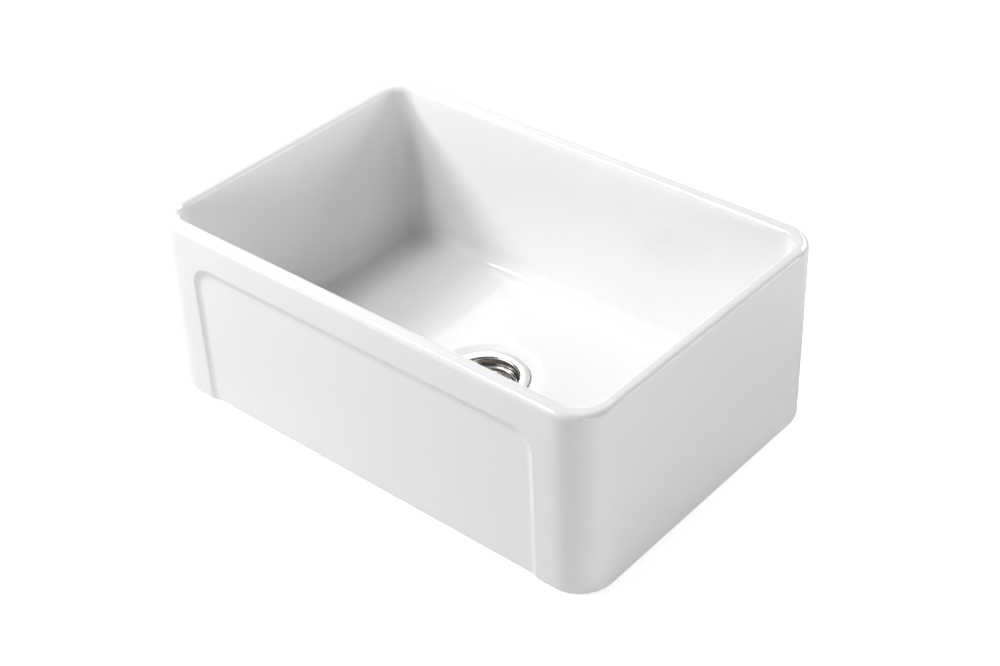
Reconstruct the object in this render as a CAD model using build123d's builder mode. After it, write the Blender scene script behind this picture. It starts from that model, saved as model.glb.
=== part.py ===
from build123d import *
import os
from math import atan, degrees, radians, tan

# Farmhouse kitchen sink: a glazed fireclay bowl with an apron front and a basket strainer.
# Millimetres. X runs along the apron, which faces -Y, and Z is up. The origin lies under
# the middle of the drain, in the plane of the underside that rests on the cabinet.

# ---- fireclay bowl --------------------------------------------------------------------
sink_width = 686.0  # along the apron
sink_depth = 457.0  # from the apron to the back
sink_height = 254.0
corner_radius = 48.0  # upright outer corners
side_wall = 19.0  # side and back walls, at the rim
apron_wall = 23.0  # front wall, at the rim
rim_outer_radius = 7.0
rim_inner_radius = 10.0
foot_radius = 5.0  # outer edge of the underside
floor_thickness = 24.0
bowl_draft = 1.5  # degrees that the bowl's walls lean outwards
bowl_floor_radius = 20.0  # between the walls and the floor
drain_hole_radius = 45.0
drain_edge_bevel = 1.5
dish_depth = 3.0  # the floor dips this far to the strainer's flange
dish_slope_width = 11.0  # of the ring that slopes down, in plan
dish_flat_margin = 3.0  # of level floor outside the flange
dish_edge_radius = 30.0
underside_recess_depth = 2.0  # ground flat for the gasket, which stands out of it
underside_recess_margin = 2.0  # around the gasket

# ---- panel sunk into the apron --------------------------------------------------------
panel_width = 540.0  # outside the sloping step
panel_top_rail = 44.0  # from the rim down to the step
panel_corner_radius = 32.0
panel_depth = 3.5
panel_step_width = 9.0  # of the sloping step, in plan
panel_step_round = 9.0  # both edges of the step

# ---- strainer body, spun from sheet ---------------------------------------------------
sharp = 0.0  # corner of a sheet without a bend
body_sheet = 1.4
flange_radius = 57.0
flange_edge_gap = 0.3  # between the turned-down edge and the dish
flange_seal_thickness = 1.0
flange_seal_margin = 2.0  # inside the flange's turned-down edge
throat_radius = 41.6
throat_lip_bend = 3.1
ledge_depth = 12.2  # from the flange's face down to the basket's ledge
ledge_width = 4.0
cup_corner_bend = 9.0
cup_slope = 35.0  # degrees, from the cup's wall down to the seat
seat_width = 7.6  # level ring around the outlet, under the stopper
neck_radius = 23.8  # outside, over the pipe thread
neck_length = 32.0  # below the cup
neck_relief_depth = 0.6  # of the groove between the shell nut's thread and the outlet's
neck_relief_width = 1.6
neck_relief_gap = 0.8  # below the shell nut

# ---- basket, pressed from sheet -------------------------------------------------------
basket_sheet = 0.8
basket_rim_clearance = 0.6  # to the throat
basket_seat_gap = 0.3  # over the ledge
basket_rim_height = 1.7
basket_wall_clearance = 0.8  # to the cup
basket_wall_bend = 2.0
basket_wall_height = 9.2  # upright part, from the rim down
basket_cone_height = 14.2
basket_cone_width = 10.0
cone_slot_count = 24
cone_slot_width = 2.8
cone_slot_margin = 1.6  # kept whole above and below the slots
floor_slot_count = 12
floor_slot_width = 2.8
floor_slot_inner_margin = 3.0  # outside the bushing's flange
floor_slot_length = 10.0

# ---- bushing in the basket's floor ----------------------------------------------------
bushing_radius = 6.0
bushing_height = 5.0  # above the basket's floor
bushing_flange_radius = 9.0
bushing_flange_thickness = 1.2
bushing_nut_flats = 15.0
bushing_nut_thickness = 1.5
friction_ring_radius = 5.2
friction_ring_thickness = 1.8

# ---- drop-centre stopper --------------------------------------------------------------
post_radius = 3.5
post_lower_radius = 3.0
running_clearance = 0.05
post_travel = 7.0  # from closed to open
post_stop_gap = 0.3  # left under the bushing's nut when open
plate_radius = 25.0
plate_thickness = 1.0
seal_radius = 26.5
seal_thickness = 3.0
seal_edge_bevel = 0.6
seal_seat_gap = 0.3
retainer_radius = 14.0
retainer_thickness = 1.2
retainer_nut_flats = 10.0
retainer_nut_height = 5.0
nut_bevel = 0.5
post_guide_length = 14.0  # below the nut, through the outlet cross
post_tip_bevel = 0.8
knob_rise = 2.8  # over the basket's rim when closed
knob_height = 12.0
knob_radius = 10.0
knob_neck_radius = 5.5
knob_neck_height = 6.0
knob_edge_bevel = 1.5
knob_bore_depth = 8.0

# ---- outlet cross ---------------------------------------------------------------------
cross_depth = 11.0  # below the seat
cross_thickness = 1.6
cross_hub_radius = 7.0
cross_hole_clearance = 0.6  # around the post
cross_arm_count = 4
cross_arm_width = 3.5
cross_tab_height = 6.0
cross_tab_thickness = 1.2

# ---- clamping set under the bowl ------------------------------------------------------
washer_clearance = 0.5  # around the strainer body
gasket_radius = 60.0
gasket_thickness = 3.0
fibre_ring_radius = 59.0
fibre_ring_thickness = 1.2
pressure_ring_radius = 58.0
pressure_ring_thickness = 1.5
shell_sheet = 1.6
shell_flange_radius = 59.5
shell_flange_drop = 6.3  # below the pressure ring
shell_lip_height = 4.0
shell_wall_radius = 45.0  # inside
shell_wall_bend = 3.0
shell_wall_height = 7.0
shell_seat_width = 7.0  # level ring under the strainer body
shell_hole_clearance = 0.7  # around the neck
screw_count = 3
screw_circle_radius = 52.0
screw_radius = 3.0
screw_thread_clearance = 0.05
screw_boss_radius = 4.6
screw_boss_height = 4.0
screw_shank_length = 22.0
wing_hub_radius = 4.0
wing_width = 16.0
wing_height = 11.0
wing_thickness = 3.0
wing_corner_radius = 4.0
shell_nut_height = 7.5
shell_nut_radius = 28.0
shell_nut_clearance = 0.05
shell_nut_lug_count = 6
shell_nut_lug_width = 8.0
shell_nut_lug_reach = 3.5
shell_nut_bevel = 0.8

# ---- levels, from the underside up ----------------------------------------------------
floor_level = floor_thickness
bowl_depth = sink_height - floor_level
dish_level = floor_level - dish_depth
flange_level = dish_level + flange_seal_thickness + body_sheet
ledge_level = flange_level - ledge_depth
rim_foot_level = ledge_level + basket_seat_gap
rim_level = rim_foot_level + basket_rim_height
basket_shoulder_level = rim_level - basket_wall_height
basket_floor_level = basket_shoulder_level - basket_cone_height
basket_foot_level = basket_floor_level - basket_sheet
bushing_foot_level = basket_foot_level - bushing_nut_thickness
bushing_top_level = basket_floor_level + bushing_height
plate_level = bushing_foot_level - post_stop_gap - post_travel
seal_level = plate_level - plate_thickness
retainer_level = seal_level - seal_thickness
retainer_foot_level = retainer_level - retainer_thickness
post_tip_level = retainer_foot_level - retainer_nut_height - post_guide_length
knob_level = rim_level + knob_rise
knob_foot_level = knob_level - knob_height
seat_level = retainer_level - seal_seat_gap
cup_foot_level = seat_level - body_sheet
neck_foot_level = cup_foot_level - neck_length
cross_level = seat_level - cross_depth
fibre_level = underside_recess_depth - gasket_thickness
pressure_level = fibre_level - fibre_ring_thickness
screw_tip_level = pressure_level - pressure_ring_thickness
shell_flange_level = screw_tip_level - shell_flange_drop
shell_foot_level = cup_foot_level - shell_sheet
wing_level = screw_tip_level - screw_shank_length
neck_relief_level = shell_foot_level - shell_nut_height - neck_relief_gap

# ---- radii about the drain's axis -----------------------------------------------------
dish_flat_radius = flange_radius + dish_flat_margin
throat_outer_radius = throat_radius + body_sheet
cup_radius = throat_radius - ledge_width
neck_bore_radius = neck_radius - body_sheet
seat_radius = neck_bore_radius + seat_width
cup_slope_level = seat_level + (cup_radius - seat_radius) * tan(radians(cup_slope))
basket_rim_radius = throat_radius - basket_rim_clearance
basket_wall_radius = cup_radius - basket_wall_clearance - basket_sheet
basket_floor_radius = basket_wall_radius - basket_cone_width
bore_radius = post_radius + running_clearance
washer_bore_radius = throat_outer_radius + washer_clearance
shell_hole_radius = neck_radius + shell_hole_clearance
shell_seat_radius = shell_hole_radius + shell_seat_width


def flat_ring(level, thickness, inner_radius, outer_radius):
    """Adds a flat ring around the drain's axis, with its lower face at the level."""
    with BuildSketch(Plane.XY.offset(level)) as outline:
        Circle(outer_radius)
        Circle(inner_radius, mode=Mode.SUBTRACT)
    extrude(outline.sketch, amount=thickness)


def spun_sheet(points, bends, sheet):
    """Spins a bent strip around the drain's axis. The points follow one of its faces, from
    the outer edge inwards, and the sheet's thickness lies on the left of their way."""
    with BuildSketch(Plane.XZ) as section:
        with BuildLine():
            FilletPolyline(*points, radius=bends)
            offset(amount=sheet, side=Side.LEFT, kind=Kind.INTERSECTION)
        make_face()
    revolve(section.sketch, axis=Axis.Z)


# ---- the glazed fireclay bowl with its apron ------------------------------------------
with BuildPart() as fireclay_bowl:
    with BuildSketch(Plane.XY):
        RectangleRounded(sink_width, sink_depth, corner_radius)
    extrude(amount=sink_height)

    # The panel is sunk into the apron and runs out through the underside.
    apron_face = Plane(origin=(0, -sink_depth / 2, 0), x_dir=(-1, 0, 0), z_dir=(0, 1, 0))
    panel_top = sink_height - panel_top_rail
    panel_taper = degrees(atan(panel_step_width / panel_depth))
    with BuildSketch(apron_face):
        RectangleRounded(panel_width, 2 * panel_top, panel_corner_radius)
    extrude(amount=panel_depth, taper=panel_taper, mode=Mode.SUBTRACT)
    rail_face, panel_face = faces().filter_by(Plane.XZ).sort_by(Axis.Y)[:2]
    step_edges = rail_face.edges() + panel_face.edges()
    fillet(
        step_edges.filter_by(
            lambda edge: abs(edge.center().X) <= panel_width / 2
            and 0 < edge.center().Z <= panel_top
        ),
        radius=panel_step_round,
    )
    fillet(faces().sort_by(Axis.Z)[-1].edges(), radius=rim_outer_radius)
    fillet(faces().sort_by(Axis.Z)[0].edges(), radius=foot_radius)

    # The hollow of the bowl, with round corners that stay concentric with the outer ones.
    with BuildSketch(Plane.XY.offset(sink_height)):
        with Locations((0, (apron_wall - side_wall) / 2)):
            RectangleRounded(
                sink_width - 2 * side_wall,
                sink_depth - side_wall - apron_wall,
                corner_radius - side_wall,
            )
    extrude(amount=-bowl_depth, taper=bowl_draft, mode=Mode.SUBTRACT)
    fillet(faces().sort_by(Axis.Z)[-1].inner_wires().edges(), radius=rim_inner_radius)
    fillet(faces().filter_by(Plane.XY).sort_by(Axis.Z)[1].edges(), radius=bowl_floor_radius)

    # The shallow dish that leads the water to the strainer's flange.
    with BuildSketch(Plane.XZ):
        with BuildLine():
            dish_radius = dish_flat_radius + dish_slope_width
            FilletPolyline(
                (0, dish_level),
                (dish_flat_radius, dish_level),
                (dish_radius, floor_level),
                (dish_radius + dish_slope_width, floor_level),
                radius=dish_edge_radius,
            )
            Polyline(
                (dish_radius + dish_slope_width, floor_level),
                (dish_radius + dish_slope_width, floor_level + dish_depth),
                (0, floor_level + dish_depth),
                (0, dish_level),
            )
        make_face()
    revolve(axis=Axis.Z, mode=Mode.SUBTRACT)

    # The drain's hole, and the flat that is ground around it on the underside.
    with BuildSketch(Plane.XY):
        Circle(gasket_radius + underside_recess_margin)
    extrude(amount=underside_recess_depth, mode=Mode.SUBTRACT)
    with BuildSketch(Plane.XY.offset(floor_level)):
        Circle(drain_hole_radius)
    extrude(amount=-floor_level, mode=Mode.SUBTRACT)
    dish_face = faces().filter_by(Plane.XY).group_by(Axis.Z)[2][0]
    chamfer(dish_face.inner_wires().edges(), length=drain_edge_bevel)

# ---- strainer body: flange, throat, ledge, cup and threaded neck -----------------------
with BuildPart() as strainer_body:
    spun_sheet(
        [
            (flange_radius, dish_level + flange_edge_gap),
            (flange_radius, flange_level),
            (throat_radius, flange_level),
            (throat_radius, ledge_level),
            (cup_radius, ledge_level),
            (cup_radius, cup_slope_level),
            (seat_radius, seat_level),
            (neck_bore_radius, seat_level),
            (neck_bore_radius, neck_foot_level),
        ],
        [sharp, throat_lip_bend, sharp, sharp, cup_corner_bend, sharp, sharp],
        body_sheet,
    )
    with BuildSketch(Plane.XY.offset(neck_relief_level)) as relief:
        Circle(neck_radius)
        Circle(neck_radius - neck_relief_depth, mode=Mode.SUBTRACT)
    extrude(relief.sketch, amount=-neck_relief_width, mode=Mode.SUBTRACT)

# ---- outlet cross: it keeps cutlery out of the neck and guides the post -----------------
with BuildPart() as outlet_cross:
    with BuildSketch(Plane.XY.offset(cross_level)) as cross_plate:
        with PolarLocations(neck_bore_radius / 2, cross_arm_count):
            Rectangle(neck_bore_radius, cross_arm_width)
        Circle(cross_hub_radius)
        Circle(neck_bore_radius, mode=Mode.INTERSECT)
        Circle(post_lower_radius + cross_hole_clearance, mode=Mode.SUBTRACT)
    extrude(amount=-cross_thickness)
    with BuildSketch(Plane.XY.offset(cross_level)):
        add(cross_plate.sketch_local)
        Circle(neck_bore_radius - cross_tab_thickness, mode=Mode.SUBTRACT)
    extrude(amount=-cross_tab_height)

# ---- seals and rings between the strainer body and the bowl -----------------------------
with BuildPart() as flange_seal:
    flat_ring(
        dish_level,
        flange_seal_thickness,
        drain_hole_radius + drain_edge_bevel,
        flange_radius - flange_seal_margin,
    )

with BuildPart() as underside_gasket:
    flat_ring(fibre_level, gasket_thickness, washer_bore_radius, gasket_radius)

with BuildPart() as fibre_ring:
    flat_ring(pressure_level, fibre_ring_thickness, washer_bore_radius, fibre_ring_radius)

with BuildPart() as pressure_ring:
    flat_ring(
        screw_tip_level, pressure_ring_thickness, washer_bore_radius, pressure_ring_radius
    )

# ---- retaining shell with the bosses of its clamp screws --------------------------------
with BuildPart() as retaining_shell:
    spun_sheet(
        [
            (shell_flange_radius, shell_flange_level - shell_lip_height),
            (shell_flange_radius, shell_flange_level),
            (shell_wall_radius, shell_flange_level),
            (shell_wall_radius, shell_flange_level - shell_wall_height),
            (shell_seat_radius, cup_foot_level),
            (shell_hole_radius, cup_foot_level),
        ],
        [sharp, shell_wall_bend, sharp, sharp],
        shell_sheet,
    )
    with BuildSketch(Plane.XY.offset(shell_flange_level - shell_sheet)):
        with PolarLocations(screw_circle_radius, screw_count):
            Circle(screw_boss_radius)
    extrude(amount=-screw_boss_height)
    with BuildSketch(Plane.XY.offset(shell_flange_level)):
        with PolarLocations(screw_circle_radius, screw_count):
            Circle(screw_radius + screw_thread_clearance)
    extrude(amount=-shell_sheet - screw_boss_height, mode=Mode.SUBTRACT)

# ---- three thumbscrews that press the pressure ring up ----------------------------------
with BuildPart() as clamp_screws:
    with BuildSketch(Plane.XY.offset(screw_tip_level)):
        with PolarLocations(screw_circle_radius, screw_count):
            Circle(screw_radius)
    extrude(amount=-screw_shank_length)
    with BuildSketch(Plane.XY.offset(wing_level)):
        with PolarLocations(screw_circle_radius, screw_count):
            Circle(wing_hub_radius)
    extrude(amount=-wing_height)
    wing_planes = [
        Plane(spot.position, x_dir=spot.y_axis.direction, z_dir=spot.x_axis.direction)
        for spot in PolarLocations(screw_circle_radius, screw_count)
    ]
    with BuildSketch(*wing_planes):
        with Locations((0, wing_level - wing_height / 2)):
            RectangleRounded(wing_width, wing_height, wing_corner_radius)
    extrude(amount=wing_thickness / 2, both=True)

# ---- lugged nut that holds the shell on the neck ----------------------------------------
with BuildPart() as shell_nut:
    with BuildSketch(Plane.XY.offset(shell_foot_level)):
        Circle(shell_nut_radius)
        with PolarLocations(shell_nut_radius, shell_nut_lug_count):
            Rectangle(2 * shell_nut_lug_reach, shell_nut_lug_width)
        Circle(neck_radius + shell_nut_clearance, mode=Mode.SUBTRACT)
    extrude(amount=-shell_nut_height)
    chamfer(faces().sort_by(Axis.Z)[0].outer_wire().edges(), length=shell_nut_bevel)

# ---- slotted basket ---------------------------------------------------------------------
with BuildPart() as basket_cup:
    spun_sheet(
        [
            (basket_rim_radius, rim_foot_level),
            (basket_rim_radius, rim_level),
            (basket_wall_radius, rim_level),
            (basket_wall_radius, basket_shoulder_level),
            (basket_floor_radius, basket_floor_level),
            (bushing_radius, basket_floor_level),
        ],
        [sharp, basket_wall_bend, sharp, sharp],
        basket_sheet,
    )

    # Upright slots all round the cone.
    slot_planes = [
        Plane(spot.position, x_dir=spot.x_axis.direction, z_dir=-spot.y_axis.direction)
        for spot in PolarLocations(0, cone_slot_count)
    ]
    slot_top = basket_shoulder_level - cone_slot_margin
    slot_foot = basket_floor_level + cone_slot_margin
    with BuildSketch(*slot_planes):
        with Locations((throat_radius / 2, (slot_top + slot_foot) / 2)):
            Rectangle(throat_radius, slot_top - slot_foot)
    extrude(amount=cone_slot_width / 2, both=True, mode=Mode.SUBTRACT)

    # Spokes of slots in the floor.
    slot_start = bushing_flange_radius + floor_slot_inner_margin
    with BuildSketch(Plane.XY.offset(basket_floor_level)):
        with PolarLocations(slot_start + floor_slot_length / 2, floor_slot_count):
            Rectangle(floor_slot_length, floor_slot_width)
    extrude(amount=-basket_sheet, mode=Mode.SUBTRACT)

# ---- bushing that guides the post in the basket -----------------------------------------
with BuildPart() as basket_bushing:
    flat_ring(
        bushing_foot_level, bushing_top_level - bushing_foot_level, bore_radius, bushing_radius
    )
    flat_ring(basket_floor_level, bushing_flange_thickness, bore_radius, bushing_flange_radius)
    with BuildSketch(Plane.XY.offset(bushing_top_level)):
        Circle(friction_ring_radius)
    extrude(amount=-friction_ring_thickness, mode=Mode.SUBTRACT)

with BuildPart() as bushing_nut:
    with BuildSketch(Plane.XY.offset(bushing_foot_level)):
        RegularPolygon(bushing_nut_flats / 2, side_count=6, major_radius=False)
        Circle(bushing_radius, mode=Mode.SUBTRACT)
    extrude(amount=bushing_nut_thickness)

with BuildPart() as friction_ring:
    flat_ring(
        bushing_top_level - friction_ring_thickness,
        friction_ring_thickness,
        bore_radius,
        friction_ring_radius,
    )

# ---- drop-centre stopper ----------------------------------------------------------------
with BuildPart() as stopper_post:
    with BuildSketch(Plane.XY.offset(plate_level)):
        Circle(post_radius)
    extrude(amount=knob_foot_level + knob_bore_depth - plate_level)
    with BuildSketch(Plane.XY.offset(plate_level)):
        Circle(post_lower_radius)
    extrude(amount=post_tip_level - plate_level)
    chamfer(faces().sort_by(Axis.Z)[0].edges(), length=post_tip_bevel)

with BuildPart() as stopper_knob:
    with BuildSketch(Plane.XZ):
        with BuildLine():
            Polyline(
                (0, knob_foot_level),
                (knob_neck_radius, knob_foot_level),
                (knob_neck_radius, knob_foot_level + knob_neck_height / 2),
                (knob_radius, knob_foot_level + knob_neck_height),
                (knob_radius, knob_level),
                (0, knob_level),
                close=True,
            )
        make_face()
    revolve(axis=Axis.Z)
    chamfer(faces().sort_by(Axis.Z)[-1].edges(), length=knob_edge_bevel)
    with BuildSketch(Plane.XY.offset(knob_foot_level)):
        Circle(post_radius)
    extrude(amount=knob_bore_depth, mode=Mode.SUBTRACT)

with BuildPart() as stopper_plate:
    flat_ring(seal_level, plate_thickness, post_lower_radius, plate_radius)

with BuildPart() as stopper_seal:
    flat_ring(retainer_level, seal_thickness, post_lower_radius, seal_radius)
    outer_edges = edges().filter_by(GeomType.CIRCLE).group_by(SortBy.RADIUS)[-1]
    chamfer(outer_edges, length=seal_edge_bevel)

with BuildPart() as seal_retainer:
    flat_ring(retainer_foot_level, retainer_thickness, post_lower_radius, retainer_radius)

with BuildPart() as retainer_nut:
    with BuildSketch(Plane.XY.offset(retainer_foot_level)):
        RegularPolygon(retainer_nut_flats / 2, side_count=6, major_radius=False)
        Circle(post_lower_radius, mode=Mode.SUBTRACT)
    extrude(amount=-retainer_nut_height)
    chamfer(faces().sort_by(Axis.Z)[0].outer_wire().edges(), length=nut_bevel)

pieces = {
    "fireclay_bowl": fireclay_bowl,
    "strainer_body": strainer_body,
    "outlet_cross": outlet_cross,
    "flange_seal": flange_seal,
    "underside_gasket": underside_gasket,
    "fibre_ring": fibre_ring,
    "pressure_ring": pressure_ring,
    "retaining_shell": retaining_shell,
    "clamp_screws": clamp_screws,
    "shell_nut": shell_nut,
    "basket_cup": basket_cup,
    "basket_bushing": basket_bushing,
    "bushing_nut": bushing_nut,
    "friction_ring": friction_ring,
    "stopper_post": stopper_post,
    "stopper_knob": stopper_knob,
    "stopper_plate": stopper_plate,
    "stopper_seal": stopper_seal,
    "seal_retainer": seal_retainer,
    "retainer_nut": retainer_nut,
}
os.makedirs("parts", exist_ok=True)
for name, piece in pieces.items():
    piece.part.label = name
    export_step(piece.part, f"parts/{name}.step")
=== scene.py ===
import math

import bpy
import numpy as np
from bpy.props import FloatProperty, FloatVectorProperty, IntProperty, PointerProperty
from mathutils import Matrix, Vector


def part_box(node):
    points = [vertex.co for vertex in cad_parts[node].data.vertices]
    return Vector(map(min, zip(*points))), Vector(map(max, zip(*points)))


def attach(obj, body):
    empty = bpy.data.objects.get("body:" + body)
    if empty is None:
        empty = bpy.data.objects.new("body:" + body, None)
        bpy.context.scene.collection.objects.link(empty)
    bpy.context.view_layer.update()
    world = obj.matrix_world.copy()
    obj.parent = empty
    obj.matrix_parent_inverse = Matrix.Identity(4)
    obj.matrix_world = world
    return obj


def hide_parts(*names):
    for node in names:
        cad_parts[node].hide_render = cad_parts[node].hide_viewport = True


bl_info = {
    "name": "Apron front sink",
    "version": (1, 0, 0),
    "blender": (4, 5, 0),
    "location": "View3D > Sidebar > Sink",
    "description": "Glazed fireclay sink with a sunk apron panel and a basket strainer",
    "category": "Object",
}

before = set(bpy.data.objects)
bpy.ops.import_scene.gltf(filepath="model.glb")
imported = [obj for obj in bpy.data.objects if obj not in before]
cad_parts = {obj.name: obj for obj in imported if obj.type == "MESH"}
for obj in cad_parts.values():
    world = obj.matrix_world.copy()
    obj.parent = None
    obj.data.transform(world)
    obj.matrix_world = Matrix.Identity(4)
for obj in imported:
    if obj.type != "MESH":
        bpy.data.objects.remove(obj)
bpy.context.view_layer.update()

# Lengths are metres, in the frame of the packed model: X along the apron, which faces -Y,
# Z up, and the origin under the middle of the drain in the plane of the underside.
BOWL_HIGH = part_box("fireclay_bowl")[1]
BODY_LOW, BODY_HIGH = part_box("strainer_body")
SEAL_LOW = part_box("flange_seal")[0]
BASKET_LOW, BASKET_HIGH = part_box("basket_cup")
SHELL_LOW, SHELL_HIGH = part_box("retaining_shell")
SCREW_LOW, SCREW_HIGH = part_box("clamp_screws")
NUT_LOW, NUT_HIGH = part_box("shell_nut")
GASKET_LOW, GASKET_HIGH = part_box("underside_gasket")
POST_LOW, POST_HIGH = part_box("stopper_post")
KNOB_LOW, KNOB_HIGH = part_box("stopper_knob")
RUBBER_LOW, RUBBER_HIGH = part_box("stopper_seal")
TURN = 2 * math.pi
CREASE = math.radians(32)   # faces that meet at more than this show an edge
NEAR = 1e-5                 # points this close to a wall or an axis lie on it
REST = 0.0003               # gap under a rim that rests on its seat


# ---- what a user may change ------------------------------------------------------------

def length(name, description, default):
    """A size in metres."""
    return FloatProperty(
        name=name, description=description, default=default, precision=5,
        unit="LENGTH", subtype="DISTANCE",
    )


def tint(name, description, default):
    """A colour."""
    return FloatVectorProperty(
        name=name, description=description, default=default, size=3, min=0.0, max=1.0,
        subtype="COLOR",
    )


def share(name, description, default):
    """A number from 0 to 1."""
    return FloatProperty(
        name=name, description=description, default=default, min=0.0, max=1.0,
        subtype="FACTOR",
    )


def amount(name, description, default, least=3):
    """A number of like parts."""
    return IntProperty(name=name, description=description, default=default, min=least)


def angle(name, description, default):
    """An angle, stored in radians."""
    return FloatProperty(
        name=name, description=description, default=default, subtype="ANGLE",
        unit="ROTATION",
    )


class SINK_PG_bowl(bpy.types.PropertyGroup):
    """Walls, roundings, panel and glaze of the fireclay bowl"""

    side_wall: length("Side wall", "Side and back walls, at the rim", 0.019)
    apron_wall: length("Apron wall", "Front wall, at the rim", 0.023)
    corner: length("Corner radius", "Upright outer corners", 0.048)
    rim_outer: length("Outer rim rounding", "Radius of the rim's outer edge", 0.007)
    rim_inner: length("Inner rim rounding", "Radius of the rim's inner edge", 0.010)
    foot: length("Foot rounding", "Radius around the underside", 0.005)
    floor: length("Floor", "Thickness of the floor", 0.024)
    floor_fillet: length("Floor rounding", "Radius between the walls and the floor", 0.020)
    draft: angle("Draft", "How far the walls lean outwards", math.radians(1.5))
    dish: length("Dish", "How far the floor dips to the strainer", 0.003)
    dish_flat: length("Dish floor", "Radius of the level part of the dish", 0.060)
    dish_slope: length("Dish slope", "Width of the dish's sloping ring", 0.011)
    dish_round: length("Dish rounding", "Radius of the dish's soft edges", 0.030)
    hole: length("Drain hole", "Radius of the hole in the floor", 0.045)
    recess: length("Gasket flat", "Depth of the flat ground under the drain", 0.002)
    recess_reach: length("Gasket flat radius", "Radius of the flat under the drain", 0.062)
    panel: length("Panel width", "Width of the sunk panel, outside its step", 0.540)
    panel_rail: length("Panel rail", "From the rim down to the panel's step", 0.044)
    panel_corner: length("Panel corner", "Radius of the panel's upper corners", 0.032)
    panel_depth: length("Panel depth", "How far the panel is sunk", 0.0035)
    panel_step: length("Panel step", "Width of the panel's soft step", 0.013)
    panel_lead: length("Panel lead", "How far the step begins outside the panel", 0.0012)
    panel_round: length("Panel rounding", "Radius of the step's outer edge", 0.006)
    glaze: tint("Glaze", "Colour of the glaze", (0.85, 0.85, 0.852))
    clay: tint("Clay", "Colour of the bare clay under the foot", (0.62, 0.57, 0.50))
    gloss: share("Glaze roughness", "Roughness of the glaze", 0.04)
    ripple: length("Glaze ripple", "Height of the slow waves in the glaze", 0.00035)


class SINK_PG_strainer(bpy.types.PropertyGroup):
    """Sheet, bends and thread of the strainer body, and the slots of its basket"""

    sheet: length("Body sheet", "Thickness of the strainer body", 0.0014)
    throat: length("Throat", "Radius inside the flange", 0.0416)
    ledge: length("Ledge depth", "From the flange down to the basket's ledge", 0.0122)
    cup: length("Cup", "Radius inside the cup", 0.0376)
    slope: angle("Cup slope", "Slope of the cup above the seat", math.radians(35))
    seat: length("Seat", "Outer radius of the level seat", 0.030)
    seat_level: length("Seat level", "Height of the seat", -0.0241)
    neck: length("Neck", "Outer radius of the threaded neck", 0.0238)
    pitch: length("Thread pitch", "Pitch of the pipe thread on the neck", 0.0022)
    thread: length("Thread depth", "Depth of the pipe thread on the neck", 0.0007)
    relief_width: length("Relief width", "Plain band between the two threads", 0.0016)
    relief_gap: length("Relief gap", "From the shell nut down to that band", 0.0008)
    basket_sheet: length("Basket sheet", "Thickness of the basket", 0.0008)
    wall: length("Basket wall", "Inner radius of the basket's wall", 0.036)
    shoulder: length("Basket shoulder", "Height where the basket's cone begins", 0.0078)
    basket_floor: length("Basket floor", "Radius of the basket's floor", 0.026)
    bushing: length("Bushing hole", "Radius of the hole in the basket's floor", 0.006)
    slots: amount("Cone slots", "Upright slots around the basket", 24)
    slot_width: length("Slot width", "Width of every slot", 0.0028)
    slot_margin: length("Slot margin", "Whole sheet below the slots", 0.0016)
    slot_top: length("Slot top", "Height where the cone slots end", 0.0070)
    spokes: amount("Floor slots", "Slots in the basket's floor", 12)
    spoke_start: length("Floor slot start", "Where the floor slots begin", 0.012)
    spoke_length: length("Floor slot length", "Length of a floor slot", 0.010)
    steel: tint("Polished steel", "Colour of the polished sheet", (0.86, 0.85, 0.84))
    # Painted shade: the body's polished steel is given this darker colour below its flange,
    # standing in for the shade down inside the drain.
    inside: tint("Steel inside", "Colour of the body inside the drain", (0.34, 0.33, 0.32))
    # Painted shade: the basket's steel is given this darker colour on its rim above the
    # shoulder, standing in for the shade and dark reflection of the drain's throat.
    basket: tint("Basket rim", "Colour of the basket's rim", (0.50, 0.49, 0.48))
    polish: share("Polish roughness", "Roughness of the polished sheet", 0.11)


class SINK_PG_stopper(bpy.types.PropertyGroup):
    """Turned pieces of the drop-centre stopper"""

    knob_bore: length("Knob bore", "Depth of the post's hole in the knob", 0.008)
    knob_neck: length("Knob neck", "Radius under the knob's head", 0.0055)
    knob_edge: length("Knob edge", "Radius of the knob's upper edge", 0.002)
    post: length("Post", "Radius of the post above the plate", 0.0035)
    lower_post: length("Lower post", "Radius of the post below the plate", 0.003)
    lip: length("Seal lip", "Radius of the rubber's outer edge", 0.0009)
    rubber: tint("Rubber", "Colour of the seal and the gasket", (0.022, 0.022, 0.023))
    steel: tint("Turned steel", "Colour of the knob and the post", (0.68, 0.67, 0.65))


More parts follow.
